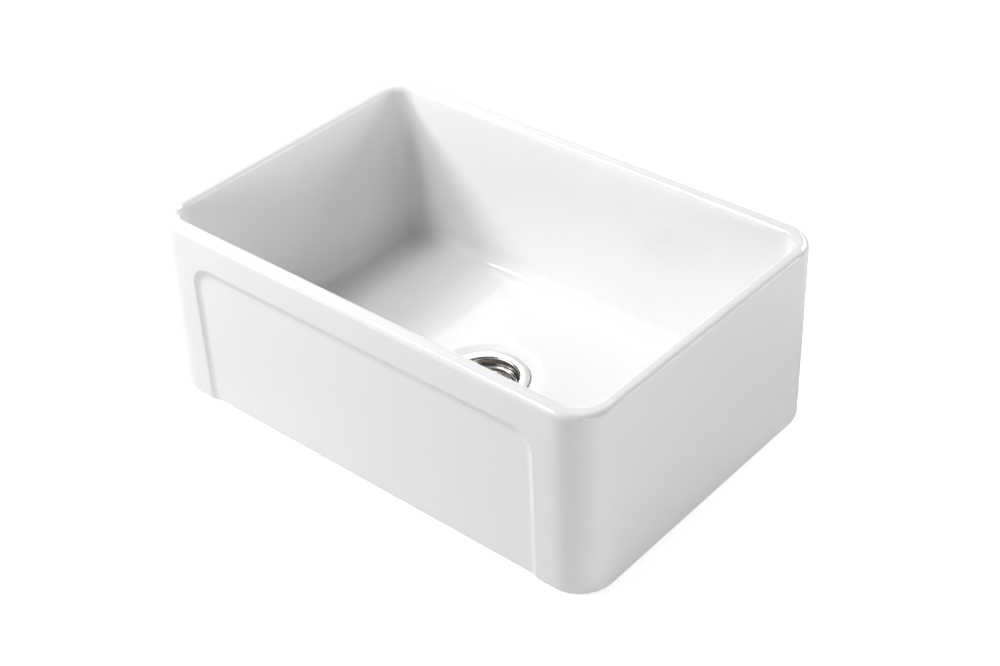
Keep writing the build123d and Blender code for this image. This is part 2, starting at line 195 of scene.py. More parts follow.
class SINK_PG_clamping(bpy.types.PropertyGroup):
    """Retaining shell, screws and nut under the bowl"""

    sheet: length("Shell sheet", "Thickness of the shell", 0.0016)
    lip: length("Shell lip", "Height of the shell's turned-down edge", 0.004)
    wall: length("Shell wall", "Radius inside the shell", 0.045)
    wall_height: length("Shell wall height", "Upright part of the shell", 0.007)
    hole: length("Shell hole", "Radius of the hole for the neck", 0.0245)
    seat: length("Shell seat", "Outer radius of the shell's level seat", 0.0315)
    screws: amount("Screws", "Clamp screws around the shell", 3, 2)
    circle: length("Screw circle", "Radius of the circle through the screws", 0.052)
    screw: length("Screw", "Radius of a screw's thread", 0.003)
    screw_pitch: length("Screw pitch", "Pitch of a screw's thread", 0.001)
    shank: length("Shank", "Length of a screw's thread", 0.022)
    hub: length("Hub", "Radius of a screw's hub", 0.004)
    wing: length("Wing width", "Width over a screw's wings", 0.016)
    wing_sheet: length("Wing thickness", "Thickness of a screw's wings", 0.003)
    boss: length("Boss", "Radius of a tapped boss", 0.0046)
    boss_height: length("Boss height", "Height of a tapped boss", 0.004)
    nut: length("Nut", "Radius of the shell nut between its lugs", 0.028)
    lugs: amount("Lugs", "Lugs on the shell nut", 6)
    lug_width: length("Lug width", "Width of a lug", 0.008)
    nut_bore: length("Nut bore", "Radius inside the shell nut", 0.02385)
    gasket_bore: length("Gasket bore", "Radius inside the rubber gasket", 0.0435)
    steel: tint("Plain steel", "Colour of the pressed shell", (0.50, 0.50, 0.49))
    zinc: tint("Zinc", "Colour of the zinc plating", (0.52, 0.53, 0.55))
    brass: tint("Brass", "Colour of the brass", (0.60, 0.44, 0.20))
    foam: tint("Foam", "Colour of the seal under the flange", (0.72, 0.72, 0.70))


class SINK_PG_stage(bpy.types.PropertyGroup):
    """Camera, lights and floor"""

    azimuth: angle("Azimuth", "Where the camera stands around the sink", math.radians(41.91))
    elevation: angle("Elevation", "How far the camera looks down", math.radians(35.80))
    roll: angle("Roll", "Turn of the camera about its own axis", math.radians(-2.57))
    aim: FloatVectorProperty(
        name="Aim", description="Point that the camera looks at",
        default=(0.0478, -0.0227, 0.1270), size=3, unit="LENGTH", subtype="XYZ",
    )
    distance: length("Distance", "From the aim to the camera", 2.1943)
    lens: FloatProperty(
        name="Lens", description="Focal length on a sensor 36 mm wide", default=64.65,
        unit="CAMERA",
    )
    floor: tint("Floor", "Colour of the floor", (0.72, 0.72, 0.72))
    glow: FloatProperty(
        name="Glow", description="Lifts the floor to white where the sink shades it",
        default=0.7, min=0.0,
    )
    daylight: FloatProperty(
        name="Daylight", description="Strength of the even light all round", default=0.0,
        min=0.0,
    )


# ---- sections and meshes ---------------------------------------------------------------

def turned(direction, radians):
    """A 2-D direction turned to the left."""
    cosine, sine = math.cos(radians), math.sin(radians)
    return np.array([
        cosine * direction[0] - sine * direction[1],
        sine * direction[0] + cosine * direction[1],
    ])


def rounded_path(corners, bends, step=math.radians(9)):
    """Points of a path with an arc of its own radius at each inner corner."""
    corners = [np.array(corner, float) for corner in corners]
    path = [corners[0]]
    for before, corner, after, bend in zip(corners, corners[1:], corners[2:], bends):
        way_in = (corner - before) / np.linalg.norm(corner - before)
        way_out = (after - corner) / np.linalg.norm(after - corner)
        cross = way_in[0] * way_out[1] - way_in[1] * way_out[0]
        turn = math.atan2(cross, float(way_in @ way_out))
        if bend == 0:
            path.append(corner)
            continue
        side = turned(way_in, math.copysign(math.pi / 2, turn))
        start = corner - way_in * bend * math.tan(abs(turn) / 2)
        centre = start + side * bend
        steps = max(2, math.ceil(abs(turn) / step))
        for i in range(steps + 1):
            path.append(centre - turned(side, turn * i / steps) * bend)
    path.append(corners[-1])
    return np.array(path)


def offset_path(path, distance):
    """The same path moved to its left, with mitred corners."""
    path = np.array(path, float)
    runs = np.diff(path, axis=0)
    runs /= np.linalg.norm(runs, axis=1)[:, None]
    sides = np.stack([-runs[:, 1], runs[:, 0]], axis=1)
    before = np.vstack([sides[:1], sides])
    after = np.vstack([sides, sides[-1:]])
    mitre = before + after
    mitre /= (mitre * before).sum(axis=1)[:, None]
    return path + mitre * distance


def sheet_section(corners, bends, sheet):
    """Outline of a bent strip: one face follows the corners, and the sheet lies on its left.
    The bends are radii of the strip's middle line."""
    middle = rounded_path(offset_path(corners, sheet / 2), bends)
    return np.vstack([offset_path(middle, -sheet / 2), offset_path(middle, sheet / 2)[::-1]])


def divided(section, longest, radius):
    """The same section with short runs where it follows the threaded wall of that radius."""
    points = []
    for here, there in zip(section, np.roll(section, -1, axis=0)):
        points.append(here)
        on_wall = abs(here[0] - radius) < NEAR and abs(there[0] - radius) < NEAR
        if on_wall and abs(there[1] - here[1]) > longest:
            steps = math.ceil(abs(there[1] - here[1]) / longest)
            points += [here + (there - here) * i / steps for i in range(1, steps)]
    return np.array(points)


def ring_section(inner, outer, low, high, bends):
    """Outline of a flat ring's section, with a rounding for all corners but the inner top."""
    corners = [(inner, high), (inner, low), (outer, low), (outer, high), (inner, high)]
    return rounded_path(corners, bends)[:-1]


def bands(rows, count, closed=False, flipped=False, first=0):
    """Quads between each ring of vertices and the next, all with the same count."""
    faces = []
    for i in range(rows if closed else rows - 1):
        here, there = first + i * count, first + (i + 1) % rows * count
        for k in range(count):
            beside = (k + 1) % count
            face = (here + k, there + k, there + beside, here + beside)
            faces.append((face[0], *face[:0:-1]) if flipped else face)
    return faces


def lathe(section, segments):
    """Spins a closed section of (radius, height) points about the drain's axis."""
    section = np.array(section, float)
    ahead = np.roll(section, -1, axis=0)
    area = (section[:, 0] * ahead[:, 1] - ahead[:, 0] * section[:, 1]).sum()
    if area < 0:
        section = section[::-1]
    angles = np.arange(segments) * TURN / segments
    vertices, rows = [], []
    for radius, height in section:
        first = len(vertices)
        if radius < NEAR:
            vertices.append((0.0, 0.0, height))
            rows.append([first] * segments)
            continue
        vertices += [(radius * math.cos(a), radius * math.sin(a), height) for a in angles]
        rows.append(list(range(first, first + segments)))
    faces = []
    for row, after in zip(rows, rows[1:] + rows[:1]):
        for k in range(segments):
            face = (row[k], row[(k + 1) % segments], after[(k + 1) % segments], after[k])
            corners = list(dict.fromkeys(face))
            if len(corners) > 2:
                faces.append(corners)
    return np.array(vertices), faces


def threaded(vertices, radius, low, high, pitch, depth):
    """Cuts a thread into the lathed wall of that radius, and fades it out at both ends."""
    result = vertices.copy()
    reach = np.hypot(vertices[:, 0], vertices[:, 1])
    height = vertices[:, 2]
    on_wall = (abs(reach - radius) < NEAR) & (height > low) & (height < high)
    turns = height / pitch - np.arctan2(vertices[:, 1], vertices[:, 0]) / TURN
    groove = abs(2 * (turns - np.floor(turns)) - 1)
    fade = np.clip(np.minimum(height - low, high - height) / pitch, 0, 1)
    cut = np.where(on_wall, depth * groove * fade, 0.0)
    scale = np.where(on_wall, (reach - cut) / np.maximum(reach, NEAR), 1.0)
    result[:, 0] *= scale
    result[:, 1] *= scale
    return result


def new_piece(name, vertices, faces, material):
    """A mesh object at the origin, shaded."""
    mesh = bpy.data.meshes.new(name)
    mesh.from_pydata([tuple(v) for v in vertices], [], [tuple(f) for f in faces])
    mesh.validate()
    mesh.materials.append(material)
    piece = bpy.data.objects.new(name, mesh)
    bpy.context.scene.collection.objects.link(piece)
    shade(piece)
    return piece


def shade(piece):
    """Smooth shading with sharp edges where faces meet at more than the crease."""
    piece.data.shade_smooth()
    piece.data.set_sharp_from_angle(angle=CREASE)


def seat(piece, body, slot, node):
    """The finished piece moves with its body and stands for its solid of the packed model."""
    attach(piece, body)
    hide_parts(node)


def dress(node, material):
    """Gives a solid of the packed model its finish."""
    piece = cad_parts[node]
    piece.data.materials.clear()
    piece.data.materials.append(material)


# ---- geometry trees --------------------------------------------------------------------

def group_of(kind, name, inputs, outputs):
    """An empty node group with named sockets, given as (name, kind, default)."""
    group = bpy.data.node_groups.new(name, kind)
    for direction, sockets in (("INPUT", inputs), ("OUTPUT", outputs)):
        for label, value, default in sockets:
            socket = group.interface.new_socket(
                label, in_out=direction, socket_type="NodeSocket" + value,
            )
            if default is not None:
                socket.default_value = default
    return group, group.nodes.new("NodeGroupInput"), group.nodes.new("NodeGroupOutput")


def new_tree(name, sockets):
    """An empty geometry tree with named inputs besides its geometry."""
    geometry = ("Geometry", "Geometry", None)
    tree, given, result = group_of("GeometryNodeTree", name, [geometry, *sockets], [geometry])
    tree.is_modifier = True
    return tree, given, result


def add_node(tree, kind, links=(), **settings):
    """A node whose inputs are linked to sockets or set to values, by name or number."""
    node = tree.nodes.new(kind)
    for name, value in settings.items():
        setattr(node, name, value)
    for name, source in dict(links).items():
        if isinstance(source, bpy.types.NodeSocket):
            tree.links.new(source, node.inputs[name])
        else:
            node.inputs[name].default_value = source
    return node


def maths(tree, operation, *values):
    """The result of one operation on sockets or numbers."""
    node = add_node(tree, "ShaderNodeMath", dict(enumerate(values)), operation=operation)
    return node.outputs[0]


def finished(tree, result, geometry, material):
    """Ends a tree with real geometry that has its material."""
    real = add_node(tree, "GeometryNodeRealizeInstances", {0: geometry})
    done = add_node(
        tree, "GeometryNodeSetMaterial", {"Geometry": real.outputs[0], "Material": material},
    )
    tree.links.new(done.outputs[0], result.inputs[0])
    return tree


def copies_tree():
    """Copies of its geometry, evenly around the drain's axis."""
    name = "copies around the drain"
    if name in bpy.data.node_groups:
        return bpy.data.node_groups[name]
    tree, given, result = new_tree(name, [("Count", "Int", 3)])
    one = add_node(tree, "GeometryNodeGeometryToInstance", {0: given.outputs["Geometry"]})
    many = add_node(
        tree, "GeometryNodeDuplicateElements",
        {"Geometry": one.outputs[0], "Amount": given.outputs["Count"]}, domain="INSTANCE",
    )
    step = maths(tree, "DIVIDE", TURN, given.outputs["Count"])
    turn = maths(tree, "MULTIPLY", many.outputs["Duplicate Index"], step)
    about = add_node(tree, "ShaderNodeCombineXYZ", {"Z": turn})
    placed = add_node(
        tree, "GeometryNodeRotateInstances",
        {"Instances": many.outputs["Geometry"], "Rotation": about.outputs[0],
         "Local Space": False},
    )
    real = add_node(tree, "GeometryNodeRealizeInstances", {0: placed.outputs[0]})
    tree.links.new(real.outputs[0], result.inputs[0])
    return tree


def copied(tree, geometry, count):
    """Adds copies around the drain's axis inside a tree, and returns their socket."""
    group = add_node(tree, "GeometryNodeGroup", node_tree=copies_tree())
    tree.links.new(geometry, group.inputs["Geometry"])
    tree.links.new(count, group.inputs["Count"])
    return group.outputs[0]


def slot_cutter(tree, width, height, depth):
    """A closed bar with round ends, standing on XY, that cuts one slot. Its roundings are a
    trace less than half its width, so that they don't meet in one point."""
    outline = add_node(
        tree, "GeometryNodeCurvePrimitiveQuadrilateral", {"Width": width, "Height": height},
    )
    soft = add_node(
        tree, "GeometryNodeFilletCurve",
        {"Curve": outline.outputs[0], "Radius": maths(tree, "MULTIPLY", width, 0.499),
         "Limit Radius": True, "Count": 5},
        mode="POLY",
    )
    flat = add_node(tree, "GeometryNodeFillCurve", {0: soft.outputs[0]}, mode="NGONS")
    raised = add_node(
        tree, "GeometryNodeExtrudeMesh",
        {"Mesh": flat.outputs[0], "Offset Scale": depth, "Individual": False},
    )
    back = add_node(tree, "GeometryNodeFlipFaces", {0: flat.outputs[0]})
    both = add_node(tree, "GeometryNodeJoinGeometry")
    tree.links.new(raised.outputs["Mesh"], both.inputs[0])
    tree.links.new(back.outputs[0], both.inputs[0])
    whole = add_node(
        tree, "GeometryNodeMergeByDistance", {"Geometry": both.outputs[0], "Distance": 1e-6},
    )
    return whole.outputs[0]


def slots_tree():
    """Cuts the upright slots of a basket's cone and the spokes of its floor."""
    tree, given, result = new_tree("basket slots", [
        ("Cone Slots", "Int", 24),
        ("Floor Slots", "Int", 12),
        ("Slot Width", "Float", 0.003),
        ("Cone Slot Height", "Float", 0.01),
        ("Cone Slot Level", "Float", 0.0),
        ("Cone Start", "Float", 0.02),
        ("Floor Slot Length", "Float", 0.01),
        ("Floor Slot Radius", "Float", 0.015),
        ("Floor Level", "Float", 0.0),
        ("Material", "Material", None),
    ])
    put = given.outputs
    upright = slot_cutter(tree, put["Slot Width"], put["Cone Slot Height"], put["Cone Start"])
    cone_place = add_node(
        tree, "ShaderNodeCombineXYZ", {"X": put["Cone Start"], "Z": put["Cone Slot Level"]},
    )
    cone_slot = add_node(
        tree, "GeometryNodeTransform",
        {"Geometry": upright, "Translation": cone_place.outputs[0],
         "Rotation": (math.pi / 2, 0, math.pi / 2)},
    )
    cutter = 0.004  # deep enough to pass through any sheet
    lying = slot_cutter(tree, put["Slot Width"], put["Floor Slot Length"], cutter)
    below = maths(tree, "SUBTRACT", put["Floor Level"], cutter / 2)
    floor_place = add_node(
        tree, "ShaderNodeCombineXYZ", {"X": put["Floor Slot Radius"], "Z": below},
    )
    floor_slot = add_node(
        tree, "GeometryNodeTransform",
        {"Geometry": lying, "Translation": floor_place.outputs[0],
         "Rotation": (0, 0, math.pi / 2)},
    )
    cuts = add_node(tree, "GeometryNodeMeshBoolean", operation="DIFFERENCE", solver="EXACT")
    tree.links.new(put["Geometry"], cuts.inputs["Mesh 1"])
    for slot, count in ((cone_slot, put["Cone Slots"]), (floor_slot, put["Floor Slots"])):
        tree.links.new(copied(tree, slot.outputs[0], count), cuts.inputs["Mesh 2"])
    return finished(tree, result, cuts.outputs["Mesh"], put["Material"])


def bosses_tree():
    """Adds tapped bosses around a shell's flange, each with a hole through boss and sheet."""
    tree, given, result = new_tree("tapped bosses", [
        ("Count", "Int", 3),
        ("Circle", "Float", 0.05),
        ("Boss Radius", "Float", 0.005),
        ("Boss Height", "Float", 0.004),
        ("Boss Level", "Float", 0.0),
        ("Hole Radius", "Float", 0.003),
        ("Material", "Material", None),
    ])
    put = given.outputs
    place = add_node(
        tree, "ShaderNodeCombineXYZ", {"X": put["Circle"], "Z": put["Boss Level"]},
    )
    rods = []
    for radius, stretch in ((put["Boss Radius"], 1.0), (put["Hole Radius"], 4.0)):
        rod = add_node(
            tree, "GeometryNodeMeshCylinder",
            {"Vertices": 40, "Radius": radius,
             "Depth": maths(tree, "MULTIPLY", put["Boss Height"], stretch)},
        )
        moved = add_node(
            tree, "GeometryNodeTransform",
            {"Geometry": rod.outputs["Mesh"], "Translation": place.outputs[0]},
        )
        rods.append(copied(tree, moved.outputs[0], put["Count"]))
    joined = add_node(tree, "GeometryNodeMeshBoolean", operation="UNION", solver="EXACT")
    tree.links.new(put["Geometry"], joined.inputs["Mesh 2"])
    tree.links.new(rods[0], joined.inputs["Mesh 2"])
    drilled = add_node(tree, "GeometryNodeMeshBoolean", operation="DIFFERENCE", solver="EXACT")
    tree.links.new(joined.outputs["Mesh"], drilled.inputs["Mesh 1"])
    tree.links.new(rods[1], drilled.inputs["Mesh 2"])
    return finished(tree, result, drilled.outputs["Mesh"], put["Material"])


def ring_of_pieces_tree():
    """Copies one piece around the drain's axis and gives the copies their material."""
    tree, given, result = new_tree("ring of pieces", [
        ("Count", "Int", 3),
        ("Material", "Material", None),
    ])
    ring = copied(tree, given.outputs["Geometry"], given.outputs["Count"])
    return finished(tree, result, ring, given.outputs["Material"])


def grow(piece, tree, values):
    """Runs a geometry tree on the piece and keeps its result as a plain mesh."""
    modifier = piece.modifiers.new(tree.name, "NODES")
    modifier.node_group = tree
    names = {
        item.name: item.identifier
        for item in tree.interface.items_tree
        if item.item_type == "SOCKET" and item.in_out == "INPUT"
    }
    for name, value in values.items():
        modifier[names[name]] = value
    graph = bpy.context.evaluated_depsgraph_get()
    mesh = bpy.data.meshes.new_from_object(piece.evaluated_get(graph))
    piece.modifiers.remove(modifier)
    old = piece.data
    piece.data = mesh
    mesh.name = piece.name
    bpy.data.meshes.remove(old)
    if not mesh.polygons:
        raise RuntimeError(f"{tree.name} left nothing of {piece.name}")


# ---- finishes --------------------------------------------------------------------------

def shader_group(name, sizes, values):
    """An empty shader group that turns a place and named sizes into named values."""
    inputs = [("Vector", "Vector", None)]
    inputs += [(size, "Float", default) for size, default in sizes]
    outputs = [(value, "Float", None) for value in values]
    return group_of("ShaderNodeTree", name, inputs, outputs)


def spread(tree, value, low, high, to_low, to_high):
    """Stretches a value smoothly from one range to another."""
    node = add_node(
        tree, "ShaderNodeMapRange",
        {"Value": value, "From Min": low, "From Max": high, "To Min": to_low,
         "To Max": to_high},
        interpolation_type="SMOOTHSTEP",
    )
    return node.outputs["Result"]


def slow_waves_group():
    """Slow waves of a thick coat, with faint fine dimples."""
    name = "slow waves"
    if name in bpy.data.node_groups:
        return bpy.data.node_groups[name]
    group, given, result = shader_group(
        name, [("Wave Size", 0.1), ("Dimple Size", 0.01), ("Dimple Share", 0.05)],
        ["Height", "Pooling"],
    )
    heights = []
    for size, detail in (("Wave Size", 1.0), ("Dimple Size", 2.0)):
        noise = add_node(
            group, "ShaderNodeTexNoise",
            {"Vector": given.outputs["Vector"], "Detail": detail, "Roughness": 0.4,
             "Scale": maths(group, "DIVIDE", 1.0, given.outputs[size])},
        )
        heights.append(noise.outputs["Fac"])
    fine = maths(group, "MULTIPLY", heights[1], given.outputs["Dimple Share"])
    group.links.new(maths(group, "ADD", heights[0], fine), result.inputs["Height"])
    group.links.new(spread(group, heights[0], 0.35, 0.65, 0.0, 1.0), result.inputs["Pooling"])
    return group


def turning_marks_group():
    """Fine rings that a lathe or a polishing wheel leaves around the drain's axis."""
    name = "turning marks"
    if name in bpy.data.node_groups:
        return bpy.data.node_groups[name]
    group, given, result = shader_group(name, [("Ring Pitch", 0.0004)], ["Height", "Streak"])
    split = add_node(group, "ShaderNodeSeparateXYZ", {0: given.outputs["Vector"]})
    flat = add_node(
        group, "ShaderNodeCombineXYZ", {"X": split.outputs["X"], "Y": split.outputs["Y"]},
    )
    reach = add_node(group, "ShaderNodeVectorMath", {0: flat.outputs[0]}, operation="LENGTH")
    # Reach and height count together, so that upright and level sheet both get rings.
    along = maths(group, "MULTIPLY_ADD", reach.outputs["Value"], 0.83, split.outputs["Z"])
    rings = maths(group, "DIVIDE", along, given.outputs["Ring Pitch"])
    fine, broad = (
        add_node(
            group, "ShaderNodeTexNoise", {"W": rings, "Scale": scale, "Detail": detail},
            noise_dimensions="1D",
        ).outputs["Fac"]
        for scale, detail in ((1.0, 3.0), (0.11, 2.0))
    )
    group.links.new(fine, result.inputs["Height"])
    group.links.new(spread(group, broad, 0.35, 0.7, 0.0, 1.0), result.inputs["Streak"])
    return group


def water_marks_group():
    """Dried drops and wiped haze, as a mask."""
    name = "water marks"
    if name in bpy.data.node_groups:
        return bpy.data.node_groups[name]
    group, given, result = shader_group(name, [("Mark Size", 0.01)], ["Mask", "Haze"])
    scale = maths(group, "DIVIDE", 1.0, given.outputs["Mark Size"])
    drops = add_node(
        group, "ShaderNodeTexVoronoi",
        {"Vector": given.outputs["Vector"], "Scale": scale, "Randomness": 1.0},
        feature="F1",
    )
    haze = add_node(
        group, "ShaderNodeTexNoise",
        {"Vector": given.outputs["Vector"], "Scale": scale, "Detail": 4.0},
    ).outputs["Fac"]
    round_marks = spread(group, drops.outputs["Distance"], 0.16, 0.24, 1.0, 0.0)
    some = spread(group, haze, 0.52, 0.60, 0.0, 1.0)
    group.links.new(maths(group, "MULTIPLY", round_marks, some), result.inputs["Mask"])
    group.links.new(spread(group, haze, 0.3, 0.7, 0.0, 1.0), result.inputs["Haze"])
    return group


def new_material(name):
    """A material with its Principled shader and the object's own coordinates."""
    material = bpy.data.materials.new(name)
    material.use_nodes = True
    tree = material.node_tree
    tree.nodes.clear()
    shader = tree.nodes.new("ShaderNodeBsdfPrincipled")
    out = tree.nodes.new("ShaderNodeOutputMaterial")
    tree.links.new(shader.outputs[0], out.inputs["Surface"])
    place = tree.nodes.new("ShaderNodeTexCoord").outputs["Object"]
    return material, tree, shader, place


def use_group(tree, group, place, **values):
    """Places a shader group in a material, with its own values."""
    node = add_node(tree, "ShaderNodeGroup", node_tree=group)
    tree.links.new(place, node.inputs["Vector"])
    for name, value in values.items():
        node.inputs[name.replace("_", " ")].default_value = value
    return node.outputs


def mixed(tree, mix, first, second):
    """A colour between two others."""
    node = add_node(tree, "ShaderNodeMix", data_type="RGBA")
    for name, value in (("A_Color", first), ("B_Color", second), ("Factor_Float", mix)):
        socket = next(s for s in node.inputs if s.identifier == name)
        if isinstance(value, bpy.types.NodeSocket):
            tree.links.new(value, socket)
        else:
            socket.default_value = value if name == "Factor_Float" else (*value, 1.0)
    return next(s for s in node.outputs if s.identifier == "Result_Color")


def bumped(tree, shader, height, distance):
    """Raises the surface by a height map."""
    bump = add_node(
        tree, "ShaderNodeBump", {"Height": height, "Distance": distance, "Strength": 1.0},
    )
    tree.links.new(bump.outputs[0], shader.inputs["Normal"])


def glaze_material(bowl):
    """Glossy white glaze, with slow waves, over bare clay under the foot."""
    material, tree, shader, place = new_material("white_glaze")
    waves = use_group(
        tree, slow_waves_group(), place, Wave_Size=0.075, Dimple_Size=0.006,
        Dimple_Share=0.012,
    )
    split = add_node(tree, "ShaderNodeSeparateXYZ", {0: place})
    wiped, glazed, clay_roughness = 0.0004, 0.0030, 0.75  # the foot is wiped bare up to there
    bare = spread(tree, split.outputs["Z"], wiped, glazed, 1.0, 0.0)
    grain = add_node(
        tree, "ShaderNodeTexNoise", {"Vector": place, "Scale": 900.0, "Detail": 3.0},
    )
    warm = [c * f for c, f in zip(bowl.glaze, (1.0, 0.995, 0.985))]
    glaze = mixed(tree, waves["Pooling"], bowl.glaze, warm)
    clay = mixed(tree, grain.outputs["Fac"], bowl.clay, [c * 0.8 for c in bowl.clay])
    tree.links.new(mixed(tree, bare, glaze, clay), shader.inputs["Base Color"])
    tree.links.new(
        spread(tree, bare, 0.0, 1.0, bowl.gloss, clay_roughness), shader.inputs["Roughness"],
    )
    shader.inputs["IOR"].default_value = 1.52
    bumped(tree, shader, waves["Height"], bowl.ripple)
    return material


def steel_material(name, colour, roughness, pitch, depth, stain, below=None, inside=None,
                   satin=0.0):
    """Metal with rings of polishing or turning around the drain, and dried water. Below the
    height below, if that is given, it has the colour inside and is rougher by satin. The two
    colours are painted shade: the strainer body is darker inside the drain, and the basket is
    darker on its rim above its shoulder."""
    material, tree, shader, place = new_material(name)
    marks = use_group(tree, turning_marks_group(), place, Ring_Pitch=pitch)
    water = use_group(tree, water_marks_group(), place, Mark_Size=0.006)
    shown = mixed(tree, marks["Streak"], colour, [c * (1 - stain) for c in colour])
    rougher = [spread(tree, water["Mask"], 0.0, 1.0, 0.0, stain)]
    if below is not None:
        split = add_node(tree, "ShaderNodeSeparateXYZ", {0: place})
        edge = 0.0004
        # Painted shade: the colour changes at this height, darker below it on the strainer
        # body and darker above it on the basket.
        painted_shade_split = spread(tree, split.outputs["Z"], below - edge, below, 1.0, 0.0)
        shown = mixed(tree, painted_shade_split, shown, inside)
        rougher.append(spread(tree, painted_shade_split, 0.0, 1.0, 0.0, satin))
    tree.links.new(shown, shader.inputs["Base Color"])
    rough = spread(tree, marks["Streak"], 0.0, 1.0, roughness * 0.8, roughness * 1.25)
    for extra in rougher:
        rough = maths(tree, "ADD", rough, extra)
    tree.links.new(rough, shader.inputs["Roughness"])
    shader.inputs["Metallic"].default_value = 1.0
    bumped(tree, shader, marks["Height"], depth)
    return material


def rubber_material(name, colour, roughness):
    """Moulded rubber or foam with a fine grain, and patches of dust that are less glossy."""
    material, tree, shader, place = new_material(name)
    grain = add_node(
        tree, "ShaderNodeTexNoise", {"Vector": place, "Scale": 1800.0, "Detail": 2.0},
    )
    dust = use_group(tree, water_marks_group(), place, Mark_Size=0.012)
    pale = [min(1.0, c * 1.3 + 0.02) for c in colour]
    tree.links.new(mixed(tree, dust["Haze"], colour, pale), shader.inputs["Base Color"])
    tree.links.new(
        spread(tree, dust["Haze"], 0.0, 1.0, roughness, min(1.0, roughness + 0.15)),
        shader.inputs["Roughness"],
    )
    bumped(tree, shader, grain.outputs["Fac"], 0.00006)
    return material


def fibre_material():
    """Pressed grey fibre board, with short strands in it."""
    material, tree, shader, place = new_material("grey_fibre")
    wide = add_node(
        tree, "ShaderNodeMapping", {"Vector": place, "Scale": (1.0, 4.0, 1.0)},
    )
    strands = add_node(
        tree, "ShaderNodeTexNoise",
        {"Vector": wide.outputs[0], "Scale": 450.0, "Detail": 4.0, "Distortion": 1.2},
    ).outputs["Fac"]
    pale, dark = (0.36, 0.34, 0.30), (0.22, 0.20, 0.18)
    tree.links.new(mixed(tree, strands, pale, dark), shader.inputs["Base Color"])
    tree.links.new(spread(tree, strands, 0.3, 0.7, 0.7, 0.9), shader.inputs["Roughness"])
    bumped(tree, shader, strands, 0.00008)
    return material


# ---- the bowl --------------------------------------------------------------------------

def sunk(bowl, x, z):
    """How far the panel lies behind the apron's face at a point of that face."""
    width = bowl.panel / 2 - bowl.panel_corner
    top = BOWL_HIGH.z - bowl.panel_rail - bowl.panel_corner
    side, up = abs(x) - width, z - top
    outside = math.hypot(max(side, 0.0), max(up, 0.0))
    inset = bowl.panel_corner - outside - min(max(side, up), 0.0) + bowl.panel_lead
    slope = 2 * math.atan2(bowl.panel_depth, bowl.panel_step)
    crisp = bowl.panel_round
    soft = bowl.panel_step / math.sin(slope) - crisp
    if inset < crisp * math.sin(slope):
        return crisp - math.sqrt(crisp ** 2 - max(inset, 0.0) ** 2)
    left = max(bowl.panel_step - inset, 0.0)
    return bowl.panel_depth - soft + math.sqrt(soft ** 2 - left ** 2)


def run(start, stop, step):
    """Even values from start up to, and without, stop, about a step apart."""
    count = max(1, round(abs(stop - start) / step))
    return [start + (stop - start) * i / count for i in range(count)]


def bowl_loop(bowl):
    """One round of the bowl, counterclockwise from the front left, as a list of
    (x of the corner rectangle, share of the way from front to back, outward direction)."""
    half = BOWL_HIGH.x - bowl.corner
    stile, fine, field = 0.006, 0.001, 0.015    # steps beside, over, inside the panel's edge
    fine_end = bowl.panel / 2 + stile
    fine_start = bowl.panel / 2 - bowl.panel_corner - 0.012
    xs = run(-half, -fine_end, stile) + run(-fine_end, -fine_start, fine)
    xs += run(-fine_start, fine_start, field) + run(fine_start, fine_end, fine)
    xs += run(fine_end, half, stile)
    corner_steps, side_steps, back_steps = 14, 24, 40
    loop = [(x, 0.0, (0.0, -1.0)) for x in xs]
    for x, share_back, first in ((half, 0.0, -0.25), (half, 1.0, 0.0), (-half, 1.0, 0.25),
                                 (-half, 0.0, 0.5)):
        for i in range(corner_steps):
            around = TURN * (first + 0.25 * i / corner_steps)
            loop.append((x, share_back, (math.cos(around), math.sin(around))))
        if first == -0.25:
            loop += [(half, i / side_steps, (1.0, 0.0)) for i in range(side_steps)]
        if first == 0.0:
            loop += [(x, 1.0, (0.0, 1.0)) for x in run(half, -half, 2 * half / back_steps)]
        if first == 0.25:
            loop += [(-half, 1 - i / side_steps, (-1.0, 0.0)) for i in range(side_steps)]
    return loop


def bowl_rows(bowl):
    """Rows of the walls, from the floor's edge over the rim to the underside, as
    (reach past the corner rectangle, height, 0 inside or 1 outside, 1 where the panel is)."""
    inner = bowl.corner - bowl.side_wall
    height = BOWL_HIGH.z
    at_floor = inner - (height - bowl.floor) * math.tan(bowl.draft)
    underside = 0.030
    path = rounded_path(
        [(0.0, bowl.floor), (at_floor, bowl.floor), (inner, height), (bowl.corner, height),
         (bowl.corner, 0.0), (underside, 0.0)],
        [bowl.floor_fillet, bowl.rim_inner, bowl.rim_outer, bowl.foot],
        step=math.radians(7),
    )[1:]
    rim = (inner + bowl.corner) / 2
    panel_top = height - bowl.panel_rail
    wall, steps = 0.1, 12                       # a run as high as that is a wall
    rail, fine, field = 0.012, 0.001, 0.018     # steps above, over and below the panel's edge
    rows = []
    for (reach, level), (next_reach, next_level) in zip(path, path[1:]):
        outside = 1.0 if reach > rim - NEAR else 0.0
        apron = 1.0 if outside and level < height - bowl.rim_outer / 2 else 0.0
        rows.append((reach, level, outside, apron))
        drop = level - next_level
        if outside and drop > wall:
            fine_top, fine_foot = panel_top + 0.004, panel_top - bowl.panel_corner - 0.006
            levels = run(level, fine_top, rail)[1:] + run(fine_top, fine_foot, fine)
            levels += run(fine_foot, next_level, field)
            rows += [(reach, z, 1.0, 1.0) for z in levels]
        elif drop < -wall:
            rows += [
                (reach + (next_reach - reach) * i / steps, level - drop * i / steps, 0.0, 0.0)
                for i in range(1, steps)
            ]
    rows.append((path[-1][0], path[-1][1], 1.0, 0.0))
    return rows


